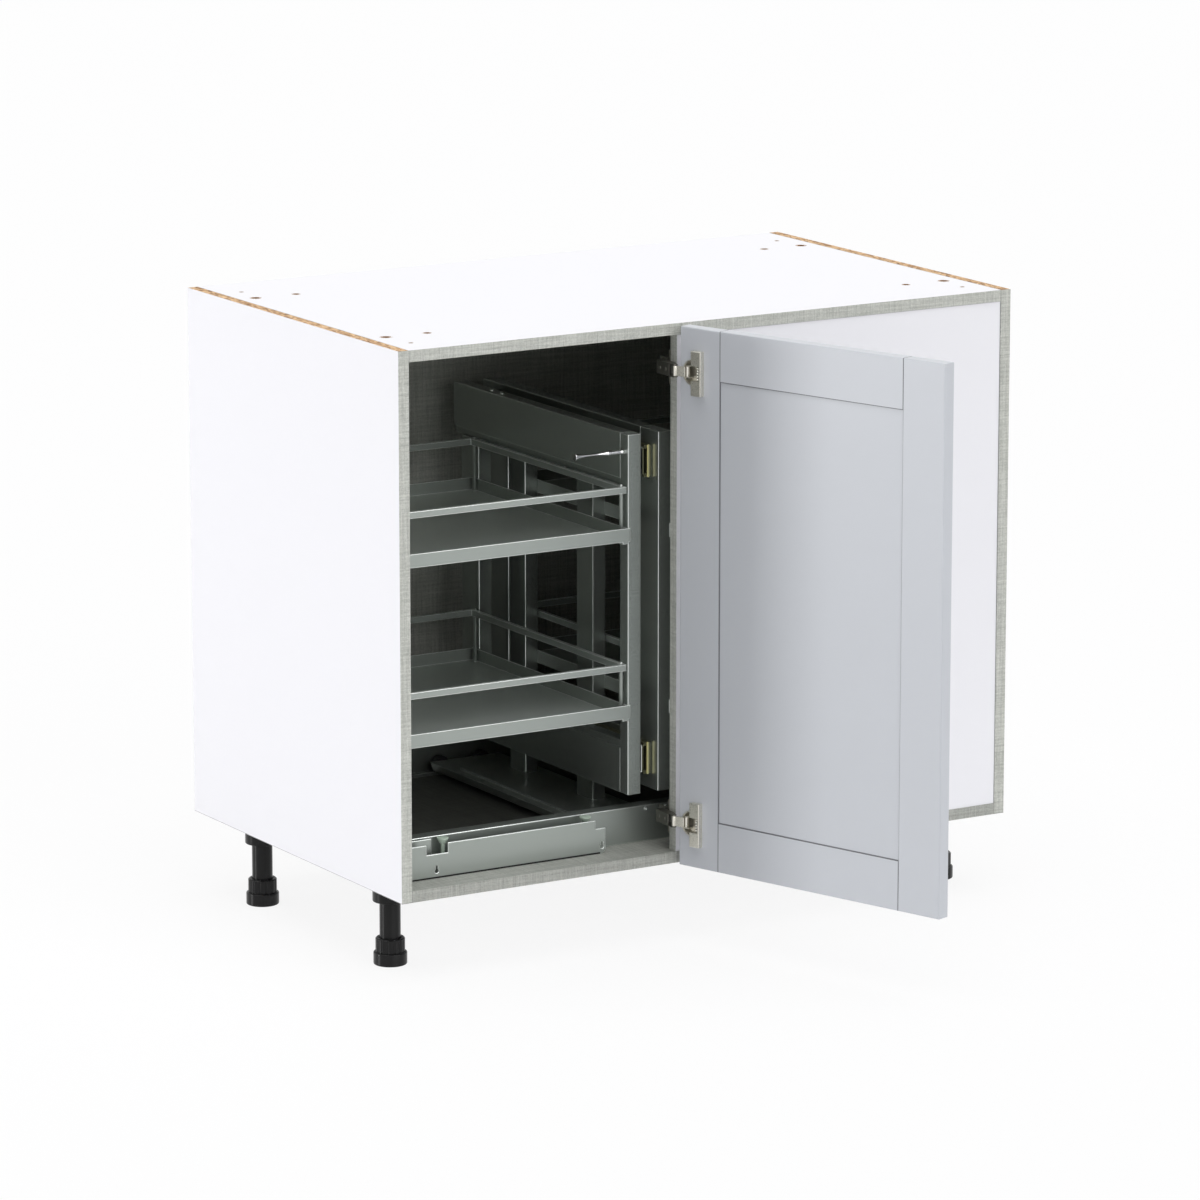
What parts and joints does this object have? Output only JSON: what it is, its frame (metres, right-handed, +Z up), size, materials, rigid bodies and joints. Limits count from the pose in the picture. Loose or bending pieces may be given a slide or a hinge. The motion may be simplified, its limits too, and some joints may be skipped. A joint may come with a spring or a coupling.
{
  "type": "blind corner base cabinet",
  "caption": "Frameless blind corner kitchen base cabinet on plinth legs, with a hinged shaker door, a fixed blind panel and a pull-out basket frame on slides",
  "frame": {"origin": "on the floor, under the middle of the box round the object with its door open", "axes": "+X to the right seen from the front, +Y from the front to the back, +Z up"},
  "size_m": [0.9906, 1.0562, 0.8763],
  "materials": {
    "carcass_board": "white melamine face, linen edge band, raw chipboard ends",
    "back_board": "linen melamine faced hardboard",
    "dowel_beech": "bare beech",
    "leg_plastic": "satin black",
    "door_lacquer": "satin blue grey lacquer",
    "hinge_nickel": "nickel plated",
    "rail_steel": "grey green metallic",
    "bumper_rubber": "pale green",
    "roller_nylon": "natural nylon",
    "frame_steel": "grey green metallic",
    "slide_zinc": "yellow zinc plated",
    "basket_steel": "grey green metallic",
    "handle_chrome": "polished"
  },
  "bodies": {
    "carcass": {"side_panel_left": "carcass_board", "side_panel_right": "carcass_board", "top_panel": "carcass_board", "bottom_panel": "carcass_board", "back_panel": "back_board", "blind_panel": "carcass_board", "dowels": "dowel_beech", "leg_sockets": "leg_plastic", "hinge_arm_lower": "hinge_nickel", "hinge_plate_lower": "hinge_nickel", "hinge_arm_upper": "hinge_nickel", "hinge_plate_upper": "hinge_nickel", "base_front_rail": "rail_steel", "base_bumpers": "bumper_rubber", "base_track_front": "rail_steel", "base_track_rear": "rail_steel", "carriage_base": "rail_steel", "rear_frame_legs": "frame_steel", "rear_frame_beam_lower": "frame_steel", "rear_frame_beam_upper": "frame_steel", "rear_frame_uprights": "frame_steel", "rear_frame_rear_post": "frame_steel", "rear_frame_front_post": "frame_steel", "slide_outer_lower": "slide_zinc", "slide_outer_upper": "slide_zinc", "rear_tray_lower": "basket_steel", "rear_gallery_lower": "basket_steel", "rear_tray_upper": "basket_steel", "rear_gallery_upper": "basket_steel"},
    "hinge_links": {"hinge_link_lower": "hinge_nickel", "hinge_link_upper": "hinge_nickel"},
    "door": {"door_stile_hinge_side": "door_lacquer", "door_stile_free_side": "door_lacquer", "door_rail_top": "door_lacquer", "door_rail_bottom": "door_lacquer", "door_panel": "door_lacquer", "hinge_cup_lower": "hinge_nickel", "hinge_cup_upper": "hinge_nickel"},
    "front_unit": {"front_frame_front_post": "frame_steel", "front_frame_rear_post": "frame_steel", "front_frame_beam_lower": "frame_steel", "front_frame_beam_upper": "frame_steel", "slide_inner_lower": "slide_zinc", "slide_inner_upper": "slide_zinc", "front_tray_lower": "basket_steel", "front_gallery_lower": "basket_steel", "front_tray_upper": "basket_steel", "front_gallery_upper": "basket_steel", "pull_handle": "handle_chrome"},
    "slide_middles": {"slide_middle_lower": "slide_zinc", "slide_middle_upper": "slide_zinc"},
    "carriage_roller_front_left": {"carriage_roller_front_left": "roller_nylon"},
    "carriage_roller_rear_left": {"carriage_roller_rear_left": "roller_nylon"},
    "carriage_roller_front_right": {"carriage_roller_front_right": "roller_nylon"},
    "carriage_roller_rear_right": {"carriage_roller_rear_right": "roller_nylon"},
    "leg_foot_front_left": {"leg_foot_front_left": "leg_plastic"},
    "leg_foot_front_right": {"leg_foot_front_right": "leg_plastic"},
    "leg_foot_rear_left": {"leg_foot_rear_left": "leg_plastic"},
    "leg_foot_rear_right": {"leg_foot_rear_right": "leg_plastic"}
  },
  "joints": [
    {"name": "link_swing", "type": "hinge", "parent": "carcass", "child": "hinge_links", "pos_m": [-0.0677, -0.09154, 0.1778], "axis": [0, 0, 1], "range_deg": [0, 64.01]},
    {"name": "door_swing", "type": "hinge", "parent": "hinge_links", "child": "door", "pos_m": [-0.05568, -0.10593, 0.1778], "axis": [0, 0, 1], "range_deg": [-172.4, 0]},
    {"name": "pull_out", "type": "slide", "parent": "carcass", "child": "front_unit", "axis": [0, -1, 0], "range_m": [0, 0.5]},
    {"name": "slide_middle_run", "type": "slide", "parent": "carcass", "child": "slide_middles", "axis": [0, -1, 0], "range_m": [0, 0.25]},
    {"name": "carriage_roller_front_left_spin", "type": "hinge", "parent": "carcass", "child": "carriage_roller_front_left", "pos_m": [-0.1123, 0.00246, 0.1446], "axis": [0, 1, 0], "continuous": true},
    {"name": "carriage_roller_rear_left_spin", "type": "hinge", "parent": "carcass", "child": "carriage_roller_rear_left", "pos_m": [-0.1123, 0.48806, 0.1446], "axis": [0, 1, 0], "continuous": true},
    {"name": "carriage_roller_front_right_spin", "type": "hinge", "parent": "carcass", "child": "carriage_roller_front_right", "pos_m": [-0.0433, 0.00246, 0.1446], "axis": [0, 1, 0], "continuous": true},
    {"name": "carriage_roller_rear_right_spin", "type": "hinge", "parent": "carcass", "child": "carriage_roller_rear_right", "pos_m": [-0.0433, 0.48806, 0.1446], "axis": [0, 1, 0], "continuous": true},
    {"name": "leg_foot_front_left_turn", "type": "hinge", "parent": "carcass", "child": "leg_foot_front_left", "pos_m": [-0.454, 0.02646, 0], "axis": [0, 0, 1], "range_deg": [-720, 720]},
    {"name": "leg_foot_front_right_turn", "type": "hinge", "parent": "carcass", "child": "leg_foot_front_right", "pos_m": [0.454, 0.02646, 0], "axis": [0, 0, 1], "range_deg": [-720, 720]},
    {"name": "leg_foot_rear_left_turn", "type": "hinge", "parent": "carcass", "child": "leg_foot_rear_left", "pos_m": [-0.454, 0.40046, 0], "axis": [0, 0, 1], "range_deg": [-720, 720]},
    {"name": "leg_foot_rear_right_turn", "type": "hinge", "parent": "carcass", "child": "leg_foot_rear_right", "pos_m": [0.454, 0.40046, 0], "axis": [0, 0, 1], "range_deg": [-720, 720]}
  ],
  "couplings": [
    {"joint": "link_swing", "follows": "door_swing", "ratio": -0.37123},
    {"joint": "slide_middle_run", "follows": "pull_out", "ratio": 0.5}
  ]
}
